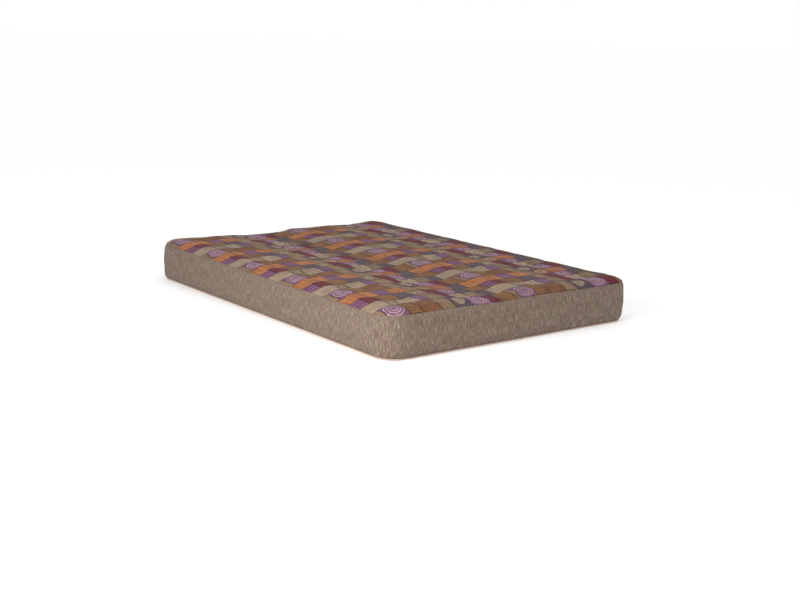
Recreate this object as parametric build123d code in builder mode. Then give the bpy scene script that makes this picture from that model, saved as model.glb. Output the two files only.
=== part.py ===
"""Full-size futon mattress in a zip-off cover, as two halves that fold about the middle.

Frame: millimetres, +Z up. The origin is the middle of the underside. X runs along the length,
which is also the fold line, and Y across the width. The seat half lies at -Y and the back half at
+Y, with the cover's zip in its long edge. Every soft layer is cut at the fold, so that the back
half can turn about the fold line along the top face.

The whole block is described by nested envelopes: envelope(0) is the cover's outer skin, and
envelope(k) is the same block with its surface k mm further in.
"""

import math
import os

from build123d import *

os.makedirs("parts", exist_ok=True)

# Block
LENGTH = 1905.0
WIDTH = 1372.0
HEIGHT = 200.0
CORNER_R = 95.0  # corners of the block seen from above
TOP_SEAM_Z = 174.0  # where the top panel meets the boxing
TOP_ROUND = 28.0
BOTTOM_ROUND = 30.0
FOLD_GAP = 0.6  # between the two halves at rest
HINGE_LIFT = 1.0  # the fold line lies this far above the top face

# Skins, as distances in from the outer skin
COVER = 1.5  # thickness of the cover fabric
TICKING_OUT = 2.5
TICKING_IN = 3.5
FILL_OUT = 3.8

# Piping round the bottom seam
PIPING_R = 3.0
PIPING_BORE_R = 2.0
PIPING_CORD_R = 1.8
PIPING_GAP = 0.15  # to the cover

# Filling, bottom to top: name and the height of its upper face
LAYERS = [
    ("batting_bottom", 38.0),
    ("foam_lower", 88.0),
    ("batting_middle", 112.0),
    ("foam_upper", 162.0),
    ("batting_top", HEIGHT),
]

# Tufting
TUFTS_ALONG = 6
TUFT_PITCH_X = 318.0
TUFT_ROWS_Y = (200.0, 500.0)  # from the fold line, on each half
TUFT_CUP_R = 18.0
TUFT_CUP_DEPTH = 18.0
TUFT_R = 13.0
TUFT_THICK = 4.0
TUFT_EDGE_R = 1.4
TUFT_CORD_R = 1.2
TUFT_KNOT_R = 3.0
TUFT_HOLE_R = 1.6

# Zip in the back long edge, in a shallow groove that the tapes draw into the boxing.
# Depths are measured in from the widest line of the side, at y = WIDTH / 2.
ZIP_Z = 62.0
GROOVE_DEPTH = 8.0
GROOVE_HALF_HEIGHT = 16.0
GROOVE_HALF_LENGTH = 830.0
GROOVE_EXTRA = 4.0  # more room behind the tapes, for the slider's inner plate
GROOVE_OVERCUT = 5.0  # the groove's cutter starts this far outside the side
SLOT_HALF_HEIGHT = 7.0
SLOT_HALF_LENGTH = 805.0
TAPE_HALF_LENGTH = 815.0
TAPE_DEPTH = 9.6  # the tape's outer face
TAPE_THICK = 0.8
TAPE_EDGE = 0.6  # from the zip's centre line to the tape's inner edge
TAPE_REACH = 15.8
COIL_HALF_LENGTH = 783.0
COIL_REACH = 3.4
COIL_THICK = 2.4
STOP_LENGTH = 3.6
STOP_GAP = 0.2

# Slider and pull
SLIDER_LENGTH = 15.0
SLIDER_HALF_HEIGHT = 6.3
SLIDER_PLATE = 1.4
SLIDER_OUTER_DEPTH = 5.6  # the outer plate's outer face
SLIDER_X = 770.0  # where the closed zip parks it
RAIL_INNER = 3.7
RAIL_DEPTH = 9.3
RAIL_END = 2.0  # from the plates' ends
INNER_PLATE_DEPTH = 10.7
POST_HALF_HEIGHT = 0.45
POST_LENGTH = 3.5
POST_X = 4.5
BRIDGE_HALF_LENGTH = 5.0
BRIDGE_HALF_HEIGHT = 1.0
BRIDGE_THICK = 1.0
BRIDGE_TOP_DEPTH = 1.6
PULL_DEPTH = 3.7  # the pull's hinge line
PULL_PIN_R = 0.6
PULL_THICK = 1.2
PULL_LENGTH = 24.0
PULL_HALF_HEIGHT = 3.6
PULL_EYE_HALF_HEIGHT = 1.7
PULL_EYE_LENGTH = 7.5

# Blank care label, sewn to the ticking on the end of the back half
LABEL_LENGTH = 90.0
LABEL_HEIGHT = 55.0
LABEL_THICK = 0.4
LABEL_DEPTH = 2.0
LABEL_Y = 420.0

FAR = 3 * LENGTH  # larger than anything here, for cutting
SEAT, BACK = -1, 1
HALVES = (("seat", SEAT), ("back", BACK))
SIDE_Y = WIDTH / 2


def save(piece, name):
    """Labels a finished piece and writes it as its own node."""
    piece.label = name
    export_step(piece, f"parts/{name}.step")


def groove_profile(inset, extra):
    """Half of the groove's outline, (distance in from the side, height from the zip's centre line)."""
    floor = GROOVE_DEPTH + inset + extra
    slope = GROOVE_HALF_HEIGHT + GROOVE_DEPTH + inset * math.sqrt(2)
    return [(-GROOVE_OVERCUT, slope + GROOVE_OVERCUT), (floor, slope - floor)]


def envelope(inset, extra=0.0):
    """The rounded block whose surface lies inset inside the outer skin, with the zip's groove."""
    with BuildPart() as block:
        with BuildSketch(Plane.XY.offset(inset)):
            RectangleRounded(LENGTH - 2 * inset, WIDTH - 2 * inset, CORNER_R - inset)
        extrude(amount=HEIGHT - 2 * inset)
        fillet(block.faces().sort_by(Axis.Z)[-1].edges(), TOP_ROUND - inset)
        fillet(block.faces().sort_by(Axis.Z)[0].edges(), BOTTOM_ROUND - inset)
        with BuildSketch(Plane.YZ) as groove:
            upper = [(SIDE_Y - d, ZIP_Z + h) for d, h in groove_profile(inset, extra)]
            lower = [(SIDE_Y - d, ZIP_Z - h) for d, h in groove_profile(inset, extra)]
            with BuildLine():
                Polyline(*upper, *reversed(lower), close=True)
            make_face()
        extrude(
            groove.sketch,
            amount=GROOVE_HALF_LENGTH + inset,
            both=True,
            mode=Mode.SUBTRACT,
        )
    return block.part


def tuft_points(side):
    """Where the tufts of one half are, seen from above."""
    middle = (TUFTS_ALONG - 1) / 2
    return [
        ((column - middle) * TUFT_PITCH_X, side * row)
        for row in TUFT_ROWS_Y
        for column in range(TUFTS_ALONG)
    ]


def with_cups(block, inset, cup_r):
    """The block with a cup pressed into its top and underside at each tuft."""
    depth = TUFT_CUP_DEPTH + inset
    with BuildPart() as pressed:
        add(block)
        for _, side in HALVES:
            with Locations(*[(x, y, HEIGHT - depth) for x, y in tuft_points(side)]):
                Cylinder(
                    cup_r,
                    2 * depth,
                    align=(Align.CENTER, Align.CENTER, Align.MIN),
                    mode=Mode.SUBTRACT,
                )
            with Locations(*[(x, y, depth) for x, y in tuft_points(side)]):
                Cylinder(
                    cup_r,
                    2 * depth,
                    align=(Align.CENTER, Align.CENTER, Align.MAX),
                    mode=Mode.SUBTRACT,
                )
            with Locations(*[(x, y, HEIGHT / 2) for x, y in tuft_points(side)]):
                Cylinder(TUFT_HOLE_R, 2 * HEIGHT, mode=Mode.SUBTRACT)
    return pressed.part


def slab(block, side, low, high):
    """The part of a block on one side of the fold, between two heights."""
    with BuildPart() as piece:
        add(block)
        with Locations((0, side * (FAR + FOLD_GAP) / 2, (low + high) / 2)):
            Box(FAR, FAR, high - low, mode=Mode.INTERSECT)
    return piece.part


def side_box(x_low, x_high, depth_low, depth_high, z_low, z_high, mode=Mode.ADD):
    """A box at the zip: its extent in y is given as depths in from the side."""
    size = (x_high - x_low, depth_high - depth_low, z_high - z_low)
    place = (
        (x_low + x_high) / 2,
        SIDE_Y - (depth_low + depth_high) / 2,
        ZIP_Z + (z_low + z_high) / 2,
    )
    with Locations(place):
        Box(*size, mode=mode)


def bottom_seam():
    """The piping's centre, (distance in from the side, height), and the height of the seam."""
    height = PIPING_R
    reach = BOTTOM_ROUND + PIPING_R + PIPING_GAP
    drop = BOTTOM_ROUND - height
    inset = BOTTOM_ROUND - math.sqrt(reach**2 - drop**2)
    return inset, height, BOTTOM_ROUND - drop * BOTTOM_ROUND / reach


PIPING_INSET, PIPING_Z, BOTTOM_SEAM_Z = bottom_seam()


def piping_path(side):
    """Half of the way round the bottom seam, from the fold on the left to the fold on the right."""
    x, y, r = LENGTH / 2 - PIPING_INSET, SIDE_Y - PIPING_INSET, CORNER_R - PIPING_INSET
    start = side * FOLD_GAP / 2
    with BuildLine(Plane.XY.offset(PIPING_Z)) as path:
        Line((-x, start), (-x, side * (y - r)))
        RadiusArc((-x, side * (y - r)), (-x + r, side * y), side * r)
        Line((-x + r, side * y), (x - r, side * y))
        RadiusArc((x - r, side * y), (x, side * (y - r)), side * r)
        Line((x, side * (y - r)), (x, start))
    return path


def piping(side, outer, inner):
    """A round tube or, where inner is 0, a round cord along half of the bottom seam."""
    path = piping_path(side)
    with BuildPart() as tube:
        with BuildSketch(Plane(path.line @ 0, z_dir=path.line % 0)):
            Circle(outer)
            if inner:
                Circle(inner, mode=Mode.SUBTRACT)
        sweep(path=path.line)
    return tube.part


# ---------------------------------------------------------------- cover
with BuildPart() as cover:
    add(envelope(0))
    add(envelope(COVER), mode=Mode.SUBTRACT)
    side_box(
        -SLOT_HALF_LENGTH,
        SLOT_HALF_LENGTH,
        0,
        GROOVE_DEPTH + 2 * COVER,
        -SLOT_HALF_HEIGHT,
        SLOT_HALF_HEIGHT,
        mode=Mode.SUBTRACT,
    )

for half, side in HALVES:
    save(slab(cover.part, side, TOP_SEAM_Z, HEIGHT), f"cover_top_panel_{half}")
    save(slab(cover.part, side, BOTTOM_SEAM_Z, TOP_SEAM_Z), f"cover_boxing_{half}")
    save(slab(cover.part, side, 0, BOTTOM_SEAM_Z), f"cover_underside_{half}")

# ---------------------------------------------------------------- piping
for half, side in HALVES:
    save(piping(side, PIPING_R, PIPING_BORE_R), f"piping_sleeve_{half}")
    save(piping(side, PIPING_CORD_R, 0), f"piping_cord_{half}")

# ---------------------------------------------------------------- ticking
with BuildPart() as ticking:
    add(with_cups(envelope(TICKING_OUT, GROOVE_EXTRA), TICKING_OUT, TUFT_CUP_R))
    add(
        with_cups(
            envelope(TICKING_IN, GROOVE_EXTRA),
            TICKING_IN,
            TUFT_CUP_R + TICKING_IN - TICKING_OUT,
        ),
        mode=Mode.SUBTRACT,
    )

for half, side in HALVES:
    save(
        slab(ticking.part, side, TOP_SEAM_Z, HEIGHT - TICKING_OUT),
        f"ticking_top_{half}",
    )
    save(
        slab(ticking.part, side, BOTTOM_ROUND, TOP_SEAM_Z),
        f"ticking_border_{half}",
    )
    save(
        slab(ticking.part, side, TICKING_OUT, BOTTOM_ROUND),
        f"ticking_underside_{half}",
    )

# ---------------------------------------------------------------- filling
filling = with_cups(
    envelope(FILL_OUT, GROOVE_EXTRA), FILL_OUT, TUFT_CUP_R + FILL_OUT - TICKING_OUT
)
for half, side in HALVES:
    low = 0.0
    for name, high in LAYERS:
        save(slab(filling, side, low, high), f"{name}_{half}")
        low = high

# ---------------------------------------------------------------- tufts
TUFT_TOP_Z = HEIGHT - TICKING_OUT - TUFT_CUP_DEPTH  # where the upper tufts sit
TUFT_LOW_Z = TICKING_OUT + TUFT_CUP_DEPTH

for half, side in HALVES:
    points = tuft_points(side)
    for name, z, align in (
        ("tufts_top", TUFT_TOP_Z, Align.MIN),
        ("tufts_underside", TUFT_LOW_Z, Align.MAX),
    ):
        with BuildPart() as tufts:
            with Locations(*[(x, y, z) for x, y in points]):
                Cylinder(TUFT_R, TUFT_THICK, align=(Align.CENTER, Align.CENTER, align))
            fillet(
                tufts.edges()
                .filter_by(GeomType.CIRCLE)
                .filter_by(lambda edge: edge.radius > TUFT_R / 2),
                TUFT_EDGE_R,
            )
            with Locations(*[(x, y, z) for x, y in points]):
                Cylinder(TUFT_HOLE_R, 4 * TUFT_THICK, mode=Mode.SUBTRACT)
        save(tufts.part, f"{name}_{half}")

    with BuildPart() as cords:
        knot_high = TUFT_TOP_Z + TUFT_THICK + TUFT_KNOT_R
        knot_low = TUFT_LOW_Z - TUFT_THICK - TUFT_KNOT_R
        with Locations(*[(x, y, (knot_high + knot_low) / 2) for x, y in points]):
            Cylinder(TUFT_CORD_R, knot_high - knot_low)
        for z in (knot_high, knot_low):
            with Locations(*[(x, y, z) for x, y in points]):
                Sphere(TUFT_KNOT_R)
    save(cords.part, f"tuft_cords_{half}")

# ---------------------------------------------------------------- zip
for name, up in (("upper", 1), ("lower", -1)):
    with BuildPart() as tape:
        side_box(
            -TAPE_HALF_LENGTH,
            TAPE_HALF_LENGTH,
            TAPE_DEPTH,
            TAPE_DEPTH + TAPE_THICK,
            *sorted((up * TAPE_EDGE, up * TAPE_REACH)),
        )
    save(tape.part, f"zip_tape_{name}")

    with BuildPart() as coil:
        side_box(
            -COIL_HALF_LENGTH,
            COIL_HALF_LENGTH,
            TAPE_DEPTH - COIL_THICK,
            TAPE_DEPTH,
            *sorted((up * TAPE_EDGE, up * COIL_REACH)),
        )
        outer_edges = coil.edges().filter_by(Axis.X).group_by(Axis.Y)[-1]
        fillet(outer_edges, COIL_THICK / 3)
    save(coil.part, f"zip_coil_{name}")

with BuildPart() as stops:
    for end in (-1, 1):
        near = COIL_HALF_LENGTH + STOP_GAP
        side_box(
            *sorted((end * near, end * (near + STOP_LENGTH))),
            TAPE_DEPTH - COIL_THICK,
            TAPE_DEPTH,
            -COIL_REACH,
            COIL_REACH,
        )
save(stops.part, "zip_end_stops")

with BuildPart() as slider:
    rear, front = SLIDER_X - SLIDER_LENGTH / 2, SLIDER_X + SLIDER_LENGTH / 2
    plate_in = SLIDER_OUTER_DEPTH + SLIDER_PLATE
    side_box(
        rear,
        front,
        SLIDER_OUTER_DEPTH,
        plate_in,
        -SLIDER_HALF_HEIGHT,
        SLIDER_HALF_HEIGHT,
    )
    side_box(
        rear,
        front,
        INNER_PLATE_DEPTH,
        INNER_PLATE_DEPTH + SLIDER_PLATE,
        -SLIDER_HALF_HEIGHT,
        SLIDER_HALF_HEIGHT,
    )
    corners = slider.edges().filter_by(Axis.Y)
    fillet(corners, SLIDER_HALF_HEIGHT / 3)
    for up in (-1, 1):
        rail = sorted((up * RAIL_INNER, up * SLIDER_HALF_HEIGHT))
        side_box(rear + RAIL_END, front - RAIL_END, plate_in, RAIL_DEPTH, *rail)
    side_box(
        SLIDER_X + POST_X - POST_LENGTH / 2,
        SLIDER_X + POST_X + POST_LENGTH / 2,
        SLIDER_OUTER_DEPTH,
        INNER_PLATE_DEPTH + SLIDER_PLATE,
        -POST_HALF_HEIGHT,
        POST_HALF_HEIGHT,
    )
    side_box(
        SLIDER_X - BRIDGE_HALF_LENGTH,
        SLIDER_X + BRIDGE_HALF_LENGTH,
        BRIDGE_TOP_DEPTH,
        SLIDER_OUTER_DEPTH,
        -BRIDGE_HALF_HEIGHT,
        BRIDGE_HALF_HEIGHT,
    )
    bridge_corners = slider.edges().filter_by(Axis.Z).group_by(Axis.Y)[-1]
    fillet(bridge_corners, BRIDGE_THICK)
    side_box(
        SLIDER_X - BRIDGE_HALF_LENGTH + BRIDGE_THICK,
        SLIDER_X + BRIDGE_HALF_LENGTH - BRIDGE_THICK,
        BRIDGE_TOP_DEPTH + BRIDGE_THICK,
        SLIDER_OUTER_DEPTH,
        -BRIDGE_HALF_HEIGHT,
        BRIDGE_HALF_HEIGHT,
        mode=Mode.SUBTRACT,
    )
save(slider.part, "zip_slider")

with BuildPart() as pull:
    pin = (SLIDER_X, SIDE_Y - PULL_DEPTH, ZIP_Z)
    side_box(
        SLIDER_X - PULL_LENGTH,
        SLIDER_X,
        PULL_DEPTH - PULL_THICK / 2,
        PULL_DEPTH + PULL_THICK / 2,
        -PULL_HALF_HEIGHT,
        PULL_HALF_HEIGHT,
    )
    tip = pull.edges().filter_by(Axis.Y).group_by(Axis.X)[0]
    fillet(tip, PULL_HALF_HEIGHT * 0.8)
    side_box(
        SLIDER_X - PULL_EYE_LENGTH,
        SLIDER_X + PULL_PIN_R,
        PULL_DEPTH - PULL_THICK,
        PULL_DEPTH + PULL_THICK,
        -PULL_EYE_HALF_HEIGHT,
        PULL_EYE_HALF_HEIGHT,
        mode=Mode.SUBTRACT,
    )
    with Locations(pin):
        Cylinder(PULL_PIN_R, 2 * PULL_HALF_HEIGHT)
save(pull.part, "zip_pull")

# ---------------------------------------------------------------- care label
with BuildPart() as label:
    with Locations((-LENGTH / 2 + LABEL_DEPTH + LABEL_THICK / 2, LABEL_Y, HEIGHT / 2)):
        Box(LABEL_THICK, LABEL_LENGTH, LABEL_HEIGHT)
save(label.part, "care_label")
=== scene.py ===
"""The looks of the futon mattress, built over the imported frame. Metres, row frame."""

import math
from types import SimpleNamespace

import bpy
import numpy as np
from mathutils import Matrix, Vector, noise


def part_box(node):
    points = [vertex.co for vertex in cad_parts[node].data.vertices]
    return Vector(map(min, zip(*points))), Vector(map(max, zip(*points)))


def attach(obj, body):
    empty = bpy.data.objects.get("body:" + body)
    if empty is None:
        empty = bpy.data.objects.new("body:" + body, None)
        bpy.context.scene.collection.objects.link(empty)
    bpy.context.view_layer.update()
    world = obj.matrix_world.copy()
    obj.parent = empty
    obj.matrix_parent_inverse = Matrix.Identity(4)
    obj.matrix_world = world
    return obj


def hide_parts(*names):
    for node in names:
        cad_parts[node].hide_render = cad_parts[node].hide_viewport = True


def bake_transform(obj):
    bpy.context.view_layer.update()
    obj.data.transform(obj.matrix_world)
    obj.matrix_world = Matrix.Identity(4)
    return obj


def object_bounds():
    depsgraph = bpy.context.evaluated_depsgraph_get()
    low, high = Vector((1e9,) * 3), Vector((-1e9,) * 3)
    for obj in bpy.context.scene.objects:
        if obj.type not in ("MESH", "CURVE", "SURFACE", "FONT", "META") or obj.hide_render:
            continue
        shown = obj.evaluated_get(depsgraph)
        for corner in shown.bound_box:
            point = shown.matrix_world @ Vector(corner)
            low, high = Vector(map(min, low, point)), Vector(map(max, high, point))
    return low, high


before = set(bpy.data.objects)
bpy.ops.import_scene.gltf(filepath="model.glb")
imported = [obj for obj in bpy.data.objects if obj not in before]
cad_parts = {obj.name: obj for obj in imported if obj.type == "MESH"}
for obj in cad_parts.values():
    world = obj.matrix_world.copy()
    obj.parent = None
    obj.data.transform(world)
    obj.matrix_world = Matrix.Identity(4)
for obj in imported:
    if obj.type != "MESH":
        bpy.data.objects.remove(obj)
cad_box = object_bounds()

# ---------------------------------------------------------------- sizes
LENGTH, WIDTH, HEIGHT = cad_box[1] - cad_box[0]
SIDE_Y = WIDTH / 2
SEAM_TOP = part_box("cover_top_panel_seat")[0].z
SEAM_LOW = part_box("cover_underside_seat")[1].z
TICKING_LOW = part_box("ticking_underside_seat")[0].z
CORNER_RADIUS = 0.095  # seen from above
CURL = 0.03  # radius of the curl at the lower edge
CLOTH = 0.0015  # thickness of the cover's cloth
TUFT_RADIUS = 0.013  # of a tuft's felt disc
TUFT_LOW, TUFT_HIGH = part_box("tufts_top_back")
TUFTS = [
    (x, side * y)
    for side in (-1, 1)
    for y in (TUFT_LOW.y + TUFT_RADIUS, TUFT_HIGH.y - TUFT_RADIUS)
    for x in np.linspace(TUFT_LOW.x + TUFT_RADIUS, TUFT_HIGH.x - TUFT_RADIUS, 6)
]

# The crown's height, and the most that the cover reaches before and after it is blown up
CROWN, HIGHEST, BLOWN_HIGHEST = HEIGHT - 0.0015, HEIGHT - 0.0005, HEIGHT - 0.0003

# Width of the slope from the crown to the seam, and how much wider it is along the sides. It narrows
# within the corners' reach.
SHOULDER, SIDE_EXTRA, SLOPE_POWER, CORNER_REACH = 0.075, 0.050, 2.3, 0.22

# A valley runs along the fold, and a shallow crease along the back half
VALLEY, VALLEY_START, VALLEY_MIDDLE, VALLEY_END = 0.021, -0.56, -0.06, 0.09
CREASE, CREASE_Y, CREASE_WIDTH = 0.006, 0.40, 0.07

# Depth of the cover's dimples over the tufts and how far they reach, and height of its lumps
DIMPLE, DIMPLE_REACH, LUMP = 0.0085, 0.055, 0.0022

# Where the layers bend between the two halves. Every layer has the same lines of points here, so that
# they bend alike.
BEND_START, BEND_END, BEND_STEP = -0.045, 0.13, 0.005


# ---------------------------------------------------------------- shape of the block
def smooth(t):
    """0 up to t = 0 and 1 from t = 1, with an even, soft change between."""
    t = np.clip(t, 0, 1)
    return t * t * (3 - 2 * t)


def waves(x, y, size, seed):
    """Smooth noise from -1 to 1, with bumps of about the given size."""
    shift = 37.0 * seed
    flat = zip(np.ravel(x) / size + shift, np.ravel(y) / size - shift)
    values = [noise.noise(Vector((a, b, shift))) for a, b in flat]
    return np.array(values).reshape(np.shape(x))


def levels(half, radius, step):
    """Grid lines from -half to half, with lines where the corner radius ends."""
    corner = max(3, round(CORNER_RADIUS / step))
    inner = half - radius
    middle = max(2, round(2 * inner / step))
    return np.concatenate(
        [
            np.linspace(-half, -inner, corner + 1)[:-1],
            np.linspace(-inner, inner, middle + 1),
            np.linspace(inner, half, corner + 1)[1:],
        ]
    )


def plan_grid(inset, step):
    """Points of a grid that fills the rounded outline, inset from the block's side."""
    hx, hy, r = LENGTH / 2 - inset, SIDE_Y - inset, CORNER_RADIUS - inset
    across = levels(hy, r, step)
    before = across[across < BEND_START - BEND_STEP / 2]
    after = across[across > BEND_END + BEND_STEP / 2]
    bending = np.linspace(BEND_START, BEND_END, round((BEND_END - BEND_START) / BEND_STEP) + 1)
    across = np.concatenate([before, bending, after])
    gx, gy = np.meshgrid(levels(hx, r, step), across, indexing="ij")
    a = np.clip((np.abs(gx) - (hx - r)) / r, 0, 1)
    b = np.clip((np.abs(gy) - (hy - r)) / r, 0, 1)
    corner = (a > 0) & (b > 0)
    x = np.where(corner, np.sign(gx) * (hx - r + r * a * np.sqrt(1 - b * b / 2)), gx)
    y = np.where(corner, np.sign(gy) * (hy - r + r * b * np.sqrt(1 - a * a / 2)), gy)
    return x, y


def rim(shape):
    """Grid indices of the rim, anticlockwise from the corner at -X -Y."""
    nx, ny = shape
    index = np.arange(nx * ny).reshape(shape)
    return np.concatenate([index[:-1, 0], index[-1, :-1], index[:0:-1, -1], index[0, :0:-1]])


def outline(step):
    """The block's side seen from above: points, outward directions and distance along, at a grid's rim."""
    x, y = plan_grid(0, step)
    edge = rim(x.shape)
    x, y = x.ravel()[edge], y.ravel()[edge]
    cx, cy = LENGTH / 2 - CORNER_RADIUS, SIDE_Y - CORNER_RADIUS
    out = np.stack([x - np.clip(x, -cx, cx), y - np.clip(y, -cy, cy)], -1)
    out /= np.linalg.norm(out, axis=1, keepdims=True)
    piece = np.hypot(np.diff(x, append=x[0]), np.diff(y, append=y[0]))
    return np.stack([x, y], -1), out, np.concatenate([[0], np.cumsum(piece)])


def depth_inside(x, y):
    """How far inside the outline a point is."""
    qx, qy = np.abs(x) - (LENGTH / 2 - CORNER_RADIUS), np.abs(y) - (SIDE_Y - CORNER_RADIUS)
    outside = np.hypot(np.maximum(qx, 0), np.maximum(qy, 0))
    return CORNER_RADIUS - outside - np.minimum(np.maximum(qx, qy), 0)


def at_tufts(x, y, radius, power=2):
    """1 at each tuft, falling away with distance."""
    total = np.zeros(np.shape(x))
    for tx, ty in TUFTS:
        total += np.exp(-((np.hypot(x - tx, y - ty) / radius) ** power))
    return total


def relief(x, y):
    """Height of the cover's top, from the seam over the shoulders to the crown."""
    inside = depth_inside(x, y)
    from_end, from_side = LENGTH / 2 - np.abs(x), SIDE_Y - np.abs(y)
    corner = smooth(1 - from_end / CORNER_REACH) * smooth(1 - from_side / CORNER_REACH)
    along_side = smooth(0.5 + (from_end - from_side) / 0.12)
    width = (SHOULDER + SIDE_EXTRA * along_side) * (1 - 0.5 * corner)
    shoulder = 1 - (1 - np.clip(inside / width, 0, 1)) ** SLOPE_POWER
    z = SEAM_TOP + (CROWN - SEAM_TOP) * shoulder
    seat_side = smooth((y - VALLEY_START) / (VALLEY_MIDDLE - VALLEY_START)) ** 2.2
    back_side = smooth((VALLEY_END - y) / 0.14)
    z -= VALLEY * np.where(y < VALLEY_MIDDLE, seat_side, back_side) * shoulder
    z -= CREASE * np.exp(-(((y - CREASE_Y) / CREASE_WIDTH) ** 2)) * shoulder
    z -= DIMPLE * at_tufts(x, y, DIMPLE_REACH) * shoulder
    lumps = waves(x, y, 0.16, 1) + 0.9 * waves(x, y, 0.07, 2)
    z += LUMP * (lumps - 1 + corner) * shoulder
    return np.minimum(z, HIGHEST)


# ---------------------------------------------------------------- meshes
def quads(index):
    """Faces of a grid of vertex indices, facing up where x is the first direction."""
    return np.stack(
        [index[:-1, :-1], index[1:, :-1], index[1:, 1:], index[:-1, 1:]], -1
    ).reshape(-1, 4)


def grid_faces(x):
    """Faces of a whole grid of points."""
    return quads(np.arange(x.size).reshape(x.shape))


def listed(x, y, z):
    """The points of a grid as a list."""
    return np.stack([x, y, z], -1).reshape(-1, 3)


def make(name, verts, faces, corner_uv):
    """A smooth-shaded mesh object. corner_uv holds one fabric coordinate, in metres, per face corner."""
    mesh = bpy.data.meshes.new(name)
    mesh.from_pydata(np.asarray(verts, float).tolist(), [], [list(f) for f in faces])
    layer = mesh.uv_layers.new(name="fabric")
    layer.data.foreach_set("uv", np.asarray(corner_uv, np.float32).ravel())
    mesh.polygons.foreach_set("use_smooth", np.ones(len(faces), bool))
    mesh.update()
    obj = bpy.data.objects.new(name, mesh)
    bpy.context.scene.collection.objects.link(obj)
    return obj


def baked(obj):
    """The object with its modifiers applied."""
    evaluated = obj.evaluated_get(bpy.context.evaluated_depsgraph_get())
    mesh = bpy.data.meshes.new_from_object(
        evaluated, preserve_all_data_layers=True, depsgraph=bpy.context.evaluated_depsgraph_get()
    )
    obj.modifiers.clear()
    obj.data = mesh
    return obj


def thicken(obj, thickness):
    """Gives a surface thickness on its inner side."""
    solid = obj.modifiers.new("thickness", "SOLIDIFY")
    solid.thickness = thickness
    solid.offset = -1
    solid.use_even_offset = True
    return baked(obj)


def bend(obj):
    """Bakes the piece's placement into its mesh."""
    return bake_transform(obj)


def both(name):
    """The CAD nodes of a layer's two halves."""
    return f"{name}_seat", f"{name}_back"


# ---------------------------------------------------------------- node materials
class Paint:
    """A material, named as its slot is, and short ways to add nodes to it."""

    def __init__(self, name):
        self.name = name
        self.material = bpy.data.materials.new(name)
        self.material.use_nodes = True
        self.tree = self.material.node_tree
        self.shader = self.tree.nodes["Principled BSDF"]

    def node(self, kind, **settings):
        made = self.tree.nodes.new(kind)
        for key, value in settings.items():
            setattr(made, key, value)
        return made

    def put(self, socket, value):
        if isinstance(value, bpy.types.NodeSocket):
            self.tree.links.new(value, socket)
        else:
            socket.default_value = value

    def math(self, operation, *values):
        made = self.node("ShaderNodeMath", operation=operation)
        for socket, value in zip(made.inputs, values):
            self.put(socket, value)
        return made.outputs[0]

    def times(self, a, b):
        return self.math("MULTIPLY", a, b)

    def plus(self, a, b):
        return self.math("ADD", a, b)

    def minus(self, a, b):
        return self.math("SUBTRACT", a, b)

    def below(self, a, b):
        """1 where a is less than b."""
        return self.math("LESS_THAN", a, b)

    def above(self, a, b):
        """1 where a is more than b."""
        return self.math("GREATER_THAN", a, b)

    def mix(self, factor, a, b, blend="MIX"):
        made = self.node("ShaderNodeMix", data_type="RGBA", blend_type=blend)
        for socket, value in zip((made.inputs[0], made.inputs[6], made.inputs[7]), (factor, a, b)):
            self.put(socket, value)
        return made.outputs[2]

    def fabric(self):
        """Fabric coordinates in metres, as (vector, u, v)."""
        uv = self.node("ShaderNodeUVMap", uv_map="fabric").outputs[0]
        split = self.node("ShaderNodeSeparateXYZ")
        self.put(split.inputs[0], uv)
        return uv, split.outputs[0], split.outputs[1]

    def parts(self, colour):
        """The sockets of a colour's red, green and blue."""
        made = self.node("ShaderNodeSeparateColor")
        self.put(made.inputs[0], colour)
        return made.outputs

    def yarns(self, value, pitch):
        """A wave across yarns of the given pitch."""
        return self.math("SINE", self.times(value, 2 * math.pi / pitch))

    def stretch(self, vector, x, y, z=1.0):
        made = self.node("ShaderNodeVectorMath", operation="MULTIPLY")
        self.put(made.inputs[0], vector)
        made.inputs[1].default_value = (x, y, z)
        return made.outputs[0]

    def noise(self, vector, scale=1.0, detail=3.0, rough=0.6):
        made = self.node("ShaderNodeTexNoise")
        self.put(made.inputs["Vector"], vector)
        made.inputs["Scale"].default_value = scale
        made.inputs["Detail"].default_value = detail
        made.inputs["Roughness"].default_value = rough
        return made.outputs[0]

    def ramp(self, factor, stops, constant=False):
        """stops is a list of (position, colour)."""
        made = self.node("ShaderNodeValToRGB")
        made.color_ramp.interpolation = "CONSTANT" if constant else "LINEAR"
        elements = made.color_ramp.elements
        while len(elements) < len(stops):
            elements.new(0.5)
        for element, (position, colour) in zip(elements, stops):
            element.position = position
            element.color = colour
        self.put(made.inputs[0], factor)
        return made.outputs[0]

    def band(self, value, low, high):
        """1 where low < value < high."""
        return self.times(self.above(value, low), self.below(value, high))

    def finish(self, colour, rough, height=None, strength=0.5, distance=0.001, sheen=0.0, metal=0.0):
        """Joins colour, roughness and bump height to the shader."""
        self.put(self.shader.inputs["Base Color"], colour)
        self.put(self.shader.inputs["Roughness"], rough)
        self.shader.inputs["Sheen Weight"].default_value = sheen
        self.shader.inputs["Sheen Roughness"].default_value = 0.45
        self.shader.inputs["Metallic"].default_value = metal
        self.shader.inputs["Specular IOR Level"].default_value = 0.5 if metal else 0.12
        if height is not None:
            bump = self.node("ShaderNodeBump")
            bump.inputs["Strength"].default_value = strength
            bump.inputs["Distance"].default_value = distance
            self.put(bump.inputs["Height"], height)
            self.put(self.shader.inputs["Normal"], bump.outputs[0])
        return self


def rgb(r, g, b):
    """A display colour, 0 to 255, as the linear colour that nodes use."""
    linear = [
        c / 12.92 if c <= 0.04045 else ((c + 0.055) / 1.055) ** 2.4
        for c in (r / 255, g / 255, b / 255)
    ]
    return (*linear, 1.0)


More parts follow.
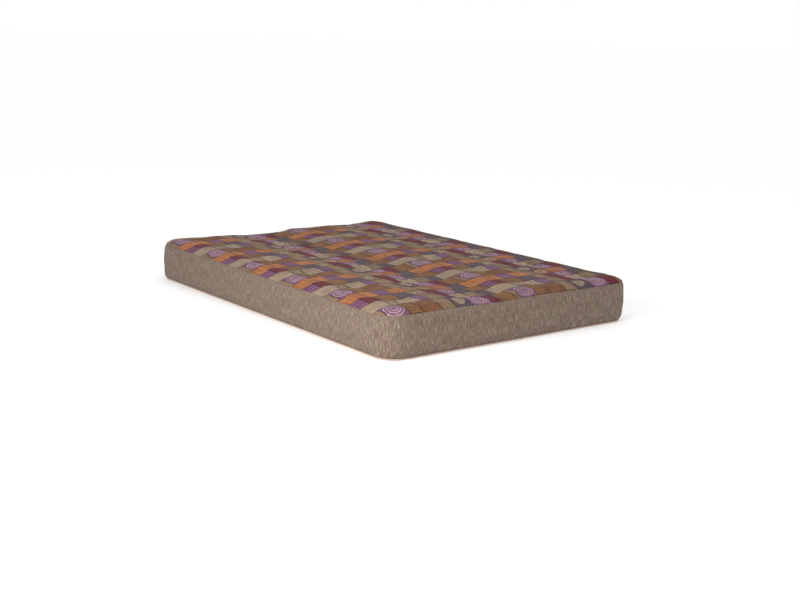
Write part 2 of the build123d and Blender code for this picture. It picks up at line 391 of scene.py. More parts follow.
PLUM, VIOLET, ORANGE = rgb(112, 22, 48), rgb(129, 87, 126), rgb(194, 121, 72)
CREAM, KHAKI, OLIVE = rgb(176, 154, 131), rgb(146, 119, 94), rgb(138, 95, 58)
SLATE, OUTLINE, PALE = rgb(90, 76, 88), rgb(46, 28, 30), rgb(208, 178, 168)

# A patchwork of the usual upholstery kind: four columns of blocks, which repeat every 343 mm along
# the mattress and 686 mm across it. A column is (width, shift across, blocks), and each block is
# (length, colour, motif), in mm.
PLAIN, STRIPES, PINSTRIPES, PLAID, RINGS, DISC, DIAGONAL = range(7)
COLUMNS = [
    (75, 0, [
        (54, VIOLET, STRIPES), (58, PLUM, PLAIN), (96, OLIVE, DIAGONAL), (84, SLATE, PLAIN),
        (74, KHAKI, DISC), (64, PLUM, STRIPES), (92, VIOLET, RINGS), (70, SLATE, PINSTRIPES),
        (94, OLIVE, PLAID),
    ]),
    (85, 36, [
        (138, CREAM, PINSTRIPES), (62, KHAKI, DISC), (84, CREAM, PLAID), (54, VIOLET, PLAIN),
        (80, KHAKI, DIAGONAL), (54, PLUM, PLAIN), (84, CREAM, DISC), (70, KHAKI, PINSTRIPES),
        (60, SLATE, PLAIN),
    ]),
    (102, -24, [
        (88, VIOLET, RINGS), (72, OLIVE, PLAID), (96, OLIVE, STRIPES), (70, KHAKI, PLAIN),
        (92, SLATE, DISC), (104, VIOLET, RINGS), (58, PLUM, STRIPES), (82, OLIVE, PLAIN),
        (24, KHAKI, PLAIN),
    ]),
    (81, 52, [
        (156, ORANGE, PLAID), (54, ORANGE, PLAIN), (72, VIOLET, DIAGONAL), (90, ORANGE, PLAID),
        (58, KHAKI, PLAIN), (76, OLIVE, RINGS), (102, ORANGE, STRIPES), (78, SLATE, PLAIN),
    ]),
]
REPEAT_U = sum(width for width, _, _ in COLUMNS) / 1000
REPEAT_V = sum(length for length, _, _ in COLUMNS[0][2]) / 1000


def find_block(p, u, v):
    """The patchwork's block at each place, as sockets: its colour and motif, the place in the repeat (u
    and v), its distance from the block's middle (radius) and outline (edge), and the radius of the
    widest circle in the block (reach)."""
    u = p.math("WRAP", u, REPEAT_U, 0.0)
    left = last_shift = 0
    for width, shift, _ in COLUMNS:
        here = p.above(u, left / 1000)
        v = p.math("MULTIPLY_ADD", here, (shift - last_shift) / 1000, v)
        left, last_shift = left + width, shift
    share = p.math("FRACT", p.math("DIVIDE", v, REPEAT_V))
    v = p.times(share, REPEAT_V)

    def choose(here, new, old):
        """new where here is 1, and old where it is 0."""
        kept = p.times(p.minus(1.0, here), old)
        return p.plus(p.times(here, new), kept)

    # The colour and the facts (motif, middle, half length) of the block, column by column
    colour = data = column_middle = column_half = None
    left = 0.0
    for width, _, blocks in COLUMNS:
        position, colours, facts = 0.0, [], []
        for length, tint, motif in blocks:
            start, half = position / 1000 / REPEAT_V, length / 2000
            colours.append((start, tint))
            facts.append((start, (motif / 10, position / 1000 + half, half, 1)))
            position += length
        own_colour = p.ramp(share, colours, constant=True)
        own_data = p.ramp(share, facts, constant=True)
        middle, half = (left + width / 2) / 1000, width / 2000
        if colour is None:
            colour, data, column_middle, column_half = own_colour, own_data, middle, half
        else:
            here = p.above(u, left / 1000)
            colour = p.mix(here, colour, own_colour)
            data = p.mix(here, data, own_data)
            column_middle = choose(here, middle, column_middle)
            column_half = choose(here, half, column_half)
        left += width
    motif_tenth, block_middle, block_half = list(p.parts(data))[:3]
    motif = p.times(motif_tenth, 10.0)
    du = p.minus(u, column_middle)
    dv = p.minus(v, block_middle)
    beside = p.minus(column_half, p.math("ABSOLUTE", du))
    edge = p.math("MINIMUM", beside, p.minus(block_half, p.math("ABSOLUTE", dv)))
    reach = p.math("MINIMUM", column_half, block_half)
    radius = p.math("SQRT", p.plus(p.times(du, du), p.times(dv, dv)))
    return SimpleNamespace(colour=colour, motif=motif, u=u, v=v, radius=radius, edge=edge, reach=reach)


def draw_motifs(p, block, patchy):
    """The block's colour, with its motif drawn on it."""
    colour = block.colour
    u, v, radius, reach = block.u, block.v, block.radius, block.reach

    def lines(value, pitch, share_dark):
        wave = p.math("FRACT", p.math("DIVIDE", value, pitch))
        return p.below(wave, share_dark)

    def draw(motif, mask, tint, amount):
        nonlocal colour
        here = p.band(block.motif, motif - 0.5, motif + 0.5)
        colour = p.mix(p.times(p.times(here, mask), amount), colour, tint)

    draw(STRIPES, lines(v, 0.0125, 0.34), PLUM, 0.8)
    draw(STRIPES, lines(v, 0.0125, 0.12), OUTLINE, 0.5)
    draw(PINSTRIPES, lines(u, 0.0105, 0.3), OUTLINE, 0.45)
    draw(PLAID, lines(p.plus(u, 0.003), 0.0205, 0.13), OUTLINE, 0.62)
    draw(PLAID, lines(v, 0.029, 0.10), OUTLINE, 0.62)
    draw(PLAIN, lines(p.plus(v, p.times(patchy, 0.06)), 0.011, 0.32), OUTLINE, 0.16)
    draw(DIAGONAL, lines(p.plus(u, v), 0.016, 0.3), OUTLINE, 0.28)
    ring = p.times(lines(radius, 0.0125, 0.36), p.below(radius, reach))
    draw(RINGS, p.times(ring, p.above(block.edge, 0.004)), PALE, 0.78)
    draw(RINGS, p.below(radius, 0.0045), PLUM, 0.9)
    disc_radius = p.times(reach, 0.66)
    draw(DISC, p.below(radius, disc_radius), CREAM, 0.85)
    draw(DISC, p.band(radius, 0.0, 0.008), OUTLINE, 0.5)
    draw(DISC, p.band(p.minus(radius, disc_radius), -0.0025, 0.0015), OUTLINE, 0.7)
    return colour


def patchwork():
    """The top panel's cloth. Its blocks' outlines wander a little."""
    p = Paint("patchwork_fabric")
    uv, plain_u, plain_v = p.fabric()
    drift = p.node("ShaderNodeTexNoise")
    p.put(drift.inputs["Vector"], uv)
    drift.inputs["Scale"].default_value = 11
    drift.inputs["Detail"].default_value = 1
    wobble = p.parts(drift.outputs[1])
    u = p.math("MULTIPLY_ADD", p.minus(wobble[0], 0.5), 0.022, plain_u)
    v = p.math("MULTIPLY_ADD", p.minus(wobble[1], 0.5), 0.026, plain_v)
    block = find_block(p, u, v)
    slub = p.noise(p.stretch(uv, 70, 520), detail=4, rough=0.65)
    patchy = p.noise(uv, 24, detail=4)
    colour = draw_motifs(p, block, patchy)
    faded = p.ramp(p.noise(uv, 46, detail=5, rough=0.7), [(0.42, rgb(0, 0, 0)), (0.62, rgb(255, 255, 255))])
    colour = p.mix(p.times(faded, 0.22), colour, KHAKI)
    outline = p.below(block.edge, 0.0027)
    colour = p.mix(p.times(outline, 0.7), colour, OUTLINE)

    # woven surface: ribs, slubs and yarn to yarn variation
    weave = p.times(p.yarns(plain_v, 0.0021), p.yarns(plain_u, 0.0026))
    shade = p.math("MULTIPLY_ADD", slub, 0.70, 0.25)
    shade = p.math("MULTIPLY_ADD", patchy, 0.46, shade)
    cells = p.node("ShaderNodeTexVoronoi", distance="CHEBYCHEV")
    p.put(cells.inputs["Vector"], p.stretch(uv, 30, 24))
    cells.inputs["Scale"].default_value = 1.0
    cells.inputs["Randomness"].default_value = 0.7
    tone = p.parts(cells.outputs["Color"])[0]
    shade = p.math("MULTIPLY_ADD", p.minus(tone, 0.5), 0.2, shade)
    shade = p.math("MULTIPLY_ADD", weave, 0.035, p.minus(shade, 0.06))
    grey = p.node("ShaderNodeCombineColor")
    for socket in grey.inputs:
        p.put(socket, shade)
    colour = p.mix(1.0, colour, grey.outputs[0], "MULTIPLY")
    height = p.math("MULTIPLY_ADD", slub, 1.2, p.times(weave, 0.3))
    height = p.minus(height, p.times(outline, 0.5))
    return p.finish(colour, p.math("MULTIPLY_ADD", slub, 0.2, 0.72), height, 0.6, 0.0012, sheen=0.03)


def boxing_cloth():
    """The plain cloth of the boxing and the underside, with slubs that run up and down the sides."""
    p = Paint("boxing_fabric")
    uv, u, v = p.fabric()
    long_slub = p.noise(p.stretch(uv, 270, 24), detail=4, rough=0.62)
    short_slub = p.noise(p.stretch(uv, 460, 75), detail=3, rough=0.7)
    tint = p.noise(p.stretch(uv, 120, 30), detail=2)
    colour = p.ramp(
        p.math("MULTIPLY_ADD", short_slub, 0.45, p.times(long_slub, 0.55)),
        [(0.37, rgb(56, 43, 35)), (0.46, rgb(99, 82, 70)), (0.54, rgb(129, 111, 97)),
         (0.64, rgb(188, 169, 151))],
    )
    fleck = p.ramp(
        tint,
        [(0.34, rgb(114, 124, 98)), (0.46, rgb(134, 119, 106)), (0.54, rgb(134, 119, 106)),
         (0.66, rgb(142, 103, 112))],
    )
    colour = p.mix(0.28, colour, fleck)
    weave = p.times(p.yarns(u, 0.0024), p.yarns(v, 0.0021))
    height = p.math("MULTIPLY_ADD", short_slub, 1.0, p.times(weave, 0.3))
    return p.finish(colour, p.math("MULTIPLY_ADD", long_slub, 0.2, 0.74), height, 0.6, 0.0014, sheen=0.05)


def plain_cloth(name, light, dark, pitch, bump=0.4, sheen=0.1):
    """A plain weave of yarns of the given pitch, which are a little uneven."""
    p = Paint(name)
    uv, u, v = p.fabric()
    yarn = p.noise(p.stretch(uv, 0.12 / pitch, 0.5 / pitch), detail=3)
    cloud = p.noise(uv, 14, detail=3)
    weave = p.times(p.yarns(u, 2 * pitch), p.yarns(v, 2 * pitch))
    mixed = p.math("MULTIPLY_ADD", cloud, 0.4, p.times(yarn, 0.6))
    colour = p.ramp(mixed, [(0.3, dark), (0.62, light)])
    height = p.math("MULTIPLY_ADD", yarn, 0.8, p.times(weave, 0.5))
    rough = p.math("MULTIPLY_ADD", yarn, 0.15, 0.78)
    return p.finish(colour, rough, height, bump, pitch * 0.6, sheen=sheen)


def fluff(name, light, dark, scale, pores=False):
    """Loose batting, or foam with pores."""
    p = Paint(name)
    uv, _, _ = p.fabric()
    if pores:
        cells = p.node("ShaderNodeTexVoronoi")
        p.put(cells.inputs["Vector"], uv)
        cells.inputs["Scale"].default_value = scale
        grain = cells.outputs[0]
    else:
        grain = p.noise(uv, scale, detail=6, rough=0.75)
    cloud = p.noise(uv, 9, detail=4)
    colour = p.ramp(p.math("MULTIPLY_ADD", cloud, 0.5, p.times(grain, 0.5)),
                    [(0.3, dark), (0.65, light)])
    return p.finish(colour, 0.92, grain, 0.6, 0.002, sheen=0.05)


def metal(name, light, dark, rough):
    """Plated metal with fine scratches and worn, darker places."""
    p = Paint(name)
    place = p.node("ShaderNodeTexCoord").outputs["Object"]
    brushed = p.noise(p.stretch(place, 400, 2500, 2500), detail=3)
    worn = p.noise(place, 180, detail=4)
    colour = p.ramp(worn, [(0.35, dark), (0.6, light)])
    rough = p.math("MULTIPLY_ADD", brushed, 0.25, rough)
    return p.finish(colour, rough, brushed, 0.15, 0.0002, metal=1.0)


def nylon(name, light, dark):
    """Moulded nylon, slightly cloudy."""
    p = Paint(name)
    place = p.node("ShaderNodeTexCoord").outputs["Object"]
    grain = p.noise(place, 700, detail=3)
    colour = p.ramp(p.noise(place, 60, detail=3), [(0.35, dark), (0.65, light)])
    return p.finish(colour, p.math("MULTIPLY_ADD", grain, 0.2, 0.4), grain, 0.2, 0.0002)


def dress(obj, paint):
    """Gives a piece its only material."""
    obj.data.materials.clear()
    obj.data.materials.append(paint.material)
    return obj


PATCHWORK = patchwork()
BOXING = boxing_cloth()
PIPING = plain_cloth("piping_cotton", rgb(206, 180, 162), rgb(170, 142, 126), 0.0011)
CORD = plain_cloth("cord_cotton", rgb(228, 222, 206), rgb(190, 182, 164), 0.0014)
TICKING = plain_cloth("ticking_cotton", rgb(222, 216, 200), rgb(196, 188, 168), 0.0016)
BATTING = fluff("cotton_batting", rgb(238, 234, 222), rgb(206, 198, 178), 160)
FOAM = fluff("foam", rgb(240, 230, 196), rgb(216, 198, 150), 420, pores=True)
TWINE = plain_cloth("tuft_twine", rgb(226, 214, 186), rgb(186, 170, 138), 0.0008)
FELT = fluff("tuft_felt", rgb(206, 190, 168), rgb(166, 150, 128), 300)
TAPE = plain_cloth("zip_tape", rgb(104, 90, 76), rgb(78, 66, 56), 0.0009)
COIL = nylon("zip_coil", rgb(98, 82, 68), rgb(74, 62, 52))
STEEL = metal("zip_metal", rgb(196, 192, 186), rgb(140, 136, 130), 0.25)
LABEL = plain_cloth("label_cloth", rgb(240, 238, 232), rgb(222, 218, 208), 0.0006, 0.25)

# ---------------------------------------------------------------- the cover's skin
STEP = 0.012  # between the cover's points
SEAM_INSET = 0.006  # from the block's side in to the top seam

# The boxing bulges between its seams, and is tucked in and pinched below the top one
BELLY, TUCK, TUCK_START, PINCH, PINCH_START = 0.0045, 0.0045, 0.150, 0.0015, 0.168
PUCKER, WAVE = 0.0009, 0.0022  # puckers next to the seams, and soft waves between them

# The zip lies in a slot in the boxing, at the bottom of a groove that fades out at its ends
ZIP_Z = (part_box("zip_slider")[0].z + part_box("zip_slider")[1].z) / 2
SLOT_HALF, GROOVE_HALF, GROOVE_TOP = 0.007, 0.016, 0.024
GROOVE_DEPTH, GROOVE_FADE = 0.008, 0.03
BACK_SIDE = SIDE_Y - 0.03  # what lies behind this is on the back long side
SLOT_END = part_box("zip_tape_upper")[1].x - 0.010

# Heights of the boxing's rings of points, from seam to seam, and closer together near the seams
SIDE_LEVELS = [
    SEAM_TOP, 0.1715, 0.168, 0.162, 0.153, 0.142, 0.131, 0.120, 0.109, 0.098,
    ZIP_Z + GROOVE_TOP, ZIP_Z + GROOVE_HALF, ZIP_Z + SLOT_HALF,
    ZIP_Z - SLOT_HALF, ZIP_Z - GROOVE_HALF, ZIP_Z - GROOVE_TOP,
    0.029, 0.0215, 0.015, 0.0095, SEAM_LOW,
]
SLOT_RING = SIDE_LEVELS.index(ZIP_Z + SLOT_HALF)


def side_offset(z):
    """How far the boxing stands out from the block's side, at height z."""
    z = np.asarray(z, float)
    bulge = BELLY * np.sin(math.pi * np.clip((z - SEAM_LOW) / (SEAM_TOP - SEAM_LOW), 0, 1)) ** 0.8
    tuck = TUCK * np.clip((z - TUCK_START) / (SEAM_TOP - TUCK_START), 0, 1) ** 2
    pinch = PINCH * np.clip((z - PINCH_START) / (SEAM_TOP - PINCH_START), 0, 1)
    curl = CURL - np.sqrt(np.maximum(CURL**2 - np.maximum(CURL - z, 0) ** 2, 0))
    return bulge - tuck - pinch - curl


def groove(x, y, z):
    """How far the zip's groove draws the boxing in."""
    depth = GROOVE_DEPTH + float(side_offset(ZIP_Z))
    across = smooth((GROOVE_TOP - np.abs(z - ZIP_Z)) / (GROOVE_TOP - GROOVE_HALF))
    along = smooth((SLOT_END + GROOVE_FADE - np.abs(x)) / GROOVE_FADE)
    return depth * across * along * (y > BACK_SIDE)


def skin():
    """Top panel and boxing as one surface: points, the top's faces, and the boxing's rings of points."""
    x, y = plan_grid(SEAM_INSET, STEP)
    points = [listed(x, y, relief(x, y))]
    edge, out, along = outline(STEP)
    rings = [rim(x.shape)]
    for z in SIDE_LEVELS[1:]:
        near_seams = math.exp((z - SEAM_TOP) / 0.03) + math.exp((SEAM_LOW - z) / 0.03)
        between = math.sin(math.pi * (z - SEAM_LOW) / (SEAM_TOP - SEAM_LOW))
        reach = side_offset(z) - groove(edge[:, 0], edge[:, 1], z)
        reach = reach + PUCKER * waves(along[:-1], z + 0 * along[:-1], 0.035, 5) * near_seams
        reach = reach + WAVE * waves(along[:-1], 2 * z + 0 * along[:-1], 0.11, 6) * between
        ring = np.column_stack([edge + out * reach[:, None], np.full(len(edge), z)])
        rings.append(sum(map(len, points)) + np.arange(len(edge)))
        points.append(ring)
    rings = np.array(rings)
    top = grid_faces(x)
    return np.concatenate(points), top, np.concatenate([rings, rings[:, :1]], 1)


def inflate(verts, faces, pinned, frames=18):
    """Blows the cover up a little against its pinned points, and returns where its points go."""
    obj = make("inflate", verts, faces, np.zeros((len(faces), 4, 2)))
    group = obj.vertex_groups.new(name="pinned")
    group.add([int(i) for i in np.flatnonzero(pinned)], 1.0, "REPLACE")
    cloth = obj.modifiers.new("inflate", "CLOTH")
    settings = cloth.settings
    settings.quality = 5
    settings.mass = 0.3
    settings.tension_stiffness = settings.compression_stiffness = 20
    settings.shear_stiffness = 10
    settings.bending_stiffness = 3.0
    settings.use_pressure = True
    settings.uniform_pressure_force = 3.0
    settings.shrink_min = -0.006
    settings.vertex_group_mass = "pinned"
    settings.effector_weights.gravity = 0
    cloth.collision_settings.use_collision = False
    cloth.point_cache.frame_start = 1
    cloth.point_cache.frame_end = frames
    scene = bpy.context.scene
    for number in range(1, frames + 1):
        scene.frame_set(number)
    evaluated = obj.evaluated_get(bpy.context.evaluated_depsgraph_get())
    result = np.zeros(len(verts) * 3)
    evaluated.data.vertices.foreach_get("co", result)
    bpy.data.objects.remove(obj)
    scene.frame_set(1)
    return result.reshape(-1, 3)


def tamed(moved, points, faces, rounds=3, inward=0.0008, sideways=0.003, outward=0.006):
    """The simulated movement, smoothed between neighbours and capped in each direction."""
    ends = np.concatenate([faces[:, [k, (k + 1) % 4]] for k in range(4)])
    count = np.bincount(ends.ravel(), minlength=len(points))[:, None]
    for _ in range(rounds):
        total = np.zeros_like(moved)
        np.add.at(total, ends[:, 0], moved[ends[:, 1]])
        np.add.at(total, ends[:, 1], moved[ends[:, 0]])
        moved = 0.5 * moved + 0.5 * total / count
    corner = points[faces]
    face_normal = np.cross(corner[:, 2] - corner[:, 0], corner[:, 3] - corner[:, 1])
    normal = np.zeros_like(points)
    for k in range(4):
        np.add.at(normal, faces[:, k], face_normal)
    normal /= np.linalg.norm(normal, axis=1, keepdims=True)
    up = (moved * normal).sum(1, keepdims=True)
    along = moved - up * normal
    size = np.linalg.norm(along, axis=1, keepdims=True)
    slowed = along * np.minimum(1, sideways / np.maximum(size, 1e-9))
    return np.clip(up, -inward, outward) * normal + slowed


def ring_faces(rings):
    """Faces between rings of points given from the top down, facing out."""
    return np.stack([rings[1:, :-1], rings[1:, 1:], rings[:-1, 1:], rings[:-1, :-1]], -1)


def ring_uv(along, heights):
    """Fabric coordinates of the corners of ring_faces."""
    u, v = np.meshgrid(along, heights, indexing="xy")
    flat = np.stack([u, v], -1)
    return np.stack([flat[1:, :-1], flat[1:, 1:], flat[:-1, 1:], flat[:-1, :-1]], 2)


points, top, rings = skin()
sides = ring_faces(rings)
sides_uv = ring_uv(outline(STEP)[2], SIDE_LEVELS)
middle = points[sides].mean(2)
slot = np.zeros(sides.shape[:2], bool)
slot[SLOT_RING] = True
slot &= (np.abs(middle[..., 0]) < SLOT_END) & (middle[..., 1] > BACK_SIDE)
top_uv = points[top][..., :2]

pinned = np.zeros(len(points), bool)
pinned[rings[-1]] = True
pinned |= (points[:, 1] > BACK_SIDE) & (np.abs(points[:, 2] - ZIP_Z) < GROOVE_TOP + 0.004)
for tx, ty in TUFTS:
    close = np.hypot(points[:, 0] - tx, points[:, 1] - ty) < 0.010
    pinned |= close & (points[:, 2] > SEAM_TOP)
faces = np.concatenate([top, sides.reshape(-1, 4)])
points = points + tamed(inflate(points, faces, pinned) - points, points, faces)
points[:, 2] = np.minimum(points[:, 2], BLOWN_HIGHEST)


def panel(name, points, faces, corner_uv, paint, thickness=CLOTH):
    """A thin cloth piece of those faces of a surface. Its outer face is the surface."""
    used, renumbered = np.unique(faces, return_inverse=True)
    obj = make(name, points[used], renumbered.reshape(faces.shape), corner_uv)
    thicken(obj, thickness)
    return dress(obj, paint)


cover_top = panel("cover_top_panel", points, top, top_uv, PATCHWORK)
cover_boxing = panel("cover_boxing", points, sides[~slot], sides_uv[~slot], BOXING)


# ---------------------------------------------------------------- the underside and the piping
UNDER_DIMPLE, UNDER_DIMPLE_REACH = 0.0045, 0.022  # the underside's dimples at the tufts
PIPING_RADIUS = 0.003


def bottom_round(x, y):
    """Height of the cover's underside, which curls up to the bottom seam and dips in at the tufts."""
    inside = np.clip(depth_inside(x, y), 0, CURL)
    curl = CURL - np.sqrt(CURL**2 - (CURL - inside) ** 2)
    return curl + UNDER_DIMPLE * at_tufts(x, y, UNDER_DIMPLE_REACH)


x, y = plan_grid(-side_offset(SEAM_LOW), 0.01)
under = listed(x, y, bottom_round(x, y))
under_faces = grid_faces(x)[:, ::-1]
cover_under = panel("cover_underside", under, under_faces, under[under_faces][..., :2], BOXING)


def tube(name, paths, radius, sides, paint, closed=False, wall=0.0):
    """Round tubes along lines of points. The fabric coordinates run along and round each."""
    points, faces, corner_uv, count = [], [], [], 0
    angles = np.linspace(0, 2 * math.pi, sides, endpoint=False)
    for path in paths:
        path = np.asarray(path, float)
        n = len(path)
        tangent = np.roll(path, -1, 0) - np.roll(path, 1, 0)
        if not closed:
            tangent[0], tangent[-1] = path[1] - path[0], path[-1] - path[-2]
        tangent /= np.linalg.norm(tangent, axis=1, keepdims=True)
        upright = np.abs(tangent[:, 2]) > 0.9
        helper = np.where(upright[:, None], [1.0, 0, 0], [0, 0, 1.0])
        across = np.cross(tangent, helper)
        across /= np.linalg.norm(across, axis=1, keepdims=True)
        other = np.cross(across, tangent)
        ring = (across[:, None] * np.cos(angles)[None, :, None]
                + other[:, None] * np.sin(angles)[None, :, None])
        points.append((path[:, None] + radius * ring).reshape(-1, 3))
        along = np.concatenate([[0], np.cumsum(np.linalg.norm(np.diff(path, axis=0), axis=1))])
        index = count + np.arange(n * sides).reshape(n, sides)
        index = np.concatenate([index, index[:, :1]], 1)
        if closed:
            index = np.concatenate([index, index[:1]])
            along = np.append(along, along[-1] + np.linalg.norm(path[0] - path[-1]))
        faces.append(quads(index))
        u, v = np.meshgrid(along, np.linspace(0, 2 * math.pi * radius, sides + 1), indexing="ij")
        corner_uv.append(np.stack([u, v], -1).reshape(-1, 2)[grid_faces(u)])
        count += n * sides
    obj = make(name, np.concatenate(points), np.concatenate(faces), np.concatenate(corner_uv))
    if wall:
        thicken(obj, wall)
    return dress(obj, paint)


def piping_line(step, spread=0.0, turns=0.0, phase=0.0):
    """The piping's middle line, or a strand that winds round it."""
    edge, out, along = outline(step)
    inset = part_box("piping_sleeve_seat")[0].x + LENGTH / 2 + PIPING_RADIUS
    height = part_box("piping_sleeve_seat")[1].z / 2
    sway = 0.0010 * waves(along[:-1], 0 * along[:-1], 0.09, 8)
    lift = 0.0006 * (1 + waves(along[:-1], 0 * along[:-1], 0.06, 9))
    angle = phase + along[:-1] * turns
    reach = -inset + sway + spread * np.cos(angle)
    return np.column_stack([edge + out * reach[:, None], height + lift + spread * np.sin(angle)])


piping_sleeve = tube(
    "piping_sleeve", [piping_line(0.008)], PIPING_RADIUS, sides=10, paint=PIPING, closed=True, wall=0.0008
)

# Three strands wind round the cord's middle, one turn in about 30 mm, and meet their own starts
STRANDS, LAY = 3, 0.03
around = outline(0.008)[2][-1]
strand_turns = 2 * math.pi * round(around / LAY) / around
piping_cord = tube(
    "piping_cord",
    [piping_line(0.0045, 0.0009, strand_turns, k * 2 * math.pi / STRANDS) for k in range(STRANDS)],
    radius=0.00085,
    sides=5,
    paint=CORD,
    closed=True,
)


# ---------------------------------------------------------------- ticking and filling
# How far the ticking keeps below the cover, and how much further on the steep shoulders
UNDER_COVER, UNDER_SHOULDER = 0.0042, 0.003

# Depth of the tufts' cups, and their radius in the ticking and in the filling
CUP, TICKING_CUP, FILLING_CUP = 0.0165, 0.024, 0.027

ZIP_ROOM = 1.8  # the layers inside draw back from the zip by this share of the groove
BORDER_LOW = 0.032  # the border's lower seam
LAYER_GAP = 0.0006  # left above and below each layer
TOP_ROOM = 0.006  # more of it above the top layer


def squeezed(z, x, y):
    """Where an inner height comes to lie under the cover's relief. Low layers stay flatter."""
    share = (z / HEIGHT) ** 2
    return z * (1 - share * (1 - relief(x, y) / HEIGHT))


def ticking_high(x, y):
    """The ticking's top, away from its cups."""
    return relief(x, y) - UNDER_COVER - UNDER_SHOULDER * (1 - smooth(depth_inside(x, y) / 0.05))


def cups(x, y, radius=TICKING_CUP):
    """How deep the tufts pull the ticking in."""
    return CUP * at_tufts(x, y, radius, 4)


def block(step, inset, high, low, round_top, round_low):
    """A closed block with rounded edges between two surfaces: points, top faces, rings, bottom faces and
    distances along its rim."""
    edge, out, along = outline(step)
    x, y = plan_grid(inset + round_top, step)
    points, rings = [listed(x, y, high(x, y))], [rim(x.shape)]
    turn = np.linspace(0, math.pi / 2, 4)
    near_rim = edge * 0.995  # a little inside, because high and low are for places on the block
    z_high = high(near_rim[:, 0], near_rim[:, 1])
    z_low = low(near_rim[:, 0], near_rim[:, 1])
    levels_down = [
        (-round_top * (1 - math.sin(t)), z_high - round_top * (1 - math.cos(t))) for t in turn[1:]
    ]
    levels_up = [
        (-round_low * (1 - math.cos(t)), z_low + round_low * (1 - math.sin(t))) for t in turn
    ]
    shares = np.linspace(0.1, 0.9, max(2, round(0.15 / step)))
    middle = [(0.0, z_high + (z_low - z_high) * share) for share in shares]
    middle = [  # those that lie between the two rounded edges
        (reach, z) for reach, z in middle
        if z.mean() < levels_down[-1][1].mean() - 0.002 and z.mean() > levels_up[0][1].mean() + 0.002
    ]
    for reach, z in levels_down + middle + levels_up[:-1]:
        dip = ZIP_ROOM * groove(edge[:, 0], edge[:, 1], z)
        ring = np.column_stack([edge + out * (reach - inset - dip)[:, None], z])
        rings.append(sum(map(len, points)) + np.arange(len(edge)))
        points.append(ring)
    x, y = plan_grid(inset + round_low, step)
    index = sum(map(len, points)) + np.arange(x.size).reshape(x.shape)
    points.append(listed(x, y, low(x, y)))
    rings.append(index.ravel()[rim(x.shape)])
    rings = np.array(rings)
    top = grid_faces(x)
    return (np.concatenate(points), top, np.concatenate([rings, rings[:, :1]], 1),
            quads(index)[:, ::-1], along)


def pad(name, z_low, z_high, inset, rounding, step, paint, tufted=0, rough=0.0):
    """A layer of the filling, in one piece across the fold. tufted is 1 or -1 where the tufts pull in
    its top or its underside."""

    def high(x, y):
        dips = cups(x, y, FILLING_CUP) * (tufted > 0)
        return squeezed(z_high, x, y) - dips + rough * waves(x, y, 0.03, 11)

    def low(x, y):
        dips = cups(x, y, FILLING_CUP) * (tufted < 0)
        return squeezed(z_low, x, y) + dips + rough * waves(x, y, 0.03, 12)

    points, top, rings, bottom, along = block(step, inset, high, low, rounding, rounding)
    faces = [top, ring_faces(rings).reshape(-1, 4), bottom]
    heights = np.linspace(z_high, z_low, len(rings))
    uv = [points[top][..., :2], ring_uv(along, heights).reshape(-1, 4, 2), points[bottom][..., :2]]
    obj = make(name, points, np.concatenate(faces), np.concatenate(uv))
    dress(obj, paint)
    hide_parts(*both(name))
    bend(obj)
    return obj


for name in ("batting_bottom", "foam_lower", "batting_middle", "foam_upper", "batting_top"):
    is_foam = name.startswith("foam")
    layer_low, layer_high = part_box(f"{name}_seat")
    pad(
        name,
        z_low=layer_low.z + LAYER_GAP,
        z_high=layer_high.z - LAYER_GAP - TOP_ROOM * (name == "batting_top"),
        inset=0.014 if is_foam else 0.011,
        rounding=0.006 if is_foam else 0.012,
        step=0.03 if is_foam or name == "batting_middle" else 0.02,
        paint=FOAM if is_foam else BATTING,
        tufted={"batting_top": 1, "batting_bottom": -1}.get(name, 0),
        rough=0.0 if is_foam else 0.0008,
    )

points, top, rings, bottom, along = block(
    step=0.018,
    inset=0.0065,
    high=lambda x, y: ticking_high(x, y) - cups(x, y),
    low=lambda x, y: TICKING_LOW + cups(x, y),
    round_top=0.012,
    round_low=0.024,
)
sides = ring_faces(rings)
heights = points[rings[:, 0], 2]
sides_uv = ring_uv(along, heights)
split = int(np.argmin(np.abs(heights - BORDER_LOW)))
under_faces = np.concatenate([bottom, sides[split:].reshape(-1, 4)])
under_uv = np.concatenate([points[bottom][..., :2], sides_uv[split:].reshape(-1, 4, 2)])
ticking_top = panel("ticking_top", points, top, points[top][..., :2], TICKING, 0.001)
border_faces, border_uv = sides[:split].reshape(-1, 4), sides_uv[:split].reshape(-1, 4, 2)
ticking_border = panel("ticking_border", points, border_faces, border_uv, TICKING, 0.001)
ticking_under = panel("ticking_underside", points, under_faces, under_uv, TICKING, 0.001)

for obj, level in (
    (cover_top, HEIGHT), (cover_boxing, HEIGHT / 2), (cover_under, 0), (piping_sleeve, 0),
    (piping_cord, 0), (ticking_top, HEIGHT), (ticking_border, HEIGHT / 2), (ticking_under, 0),
):
    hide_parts(*both(obj.name))
    bend(obj)


# ---------------------------------------------------------------- tufts
TWINE_RISE, KNOT_RISE = 0.005, 0.0052  # how far the twine and its knots stand out from the ticking


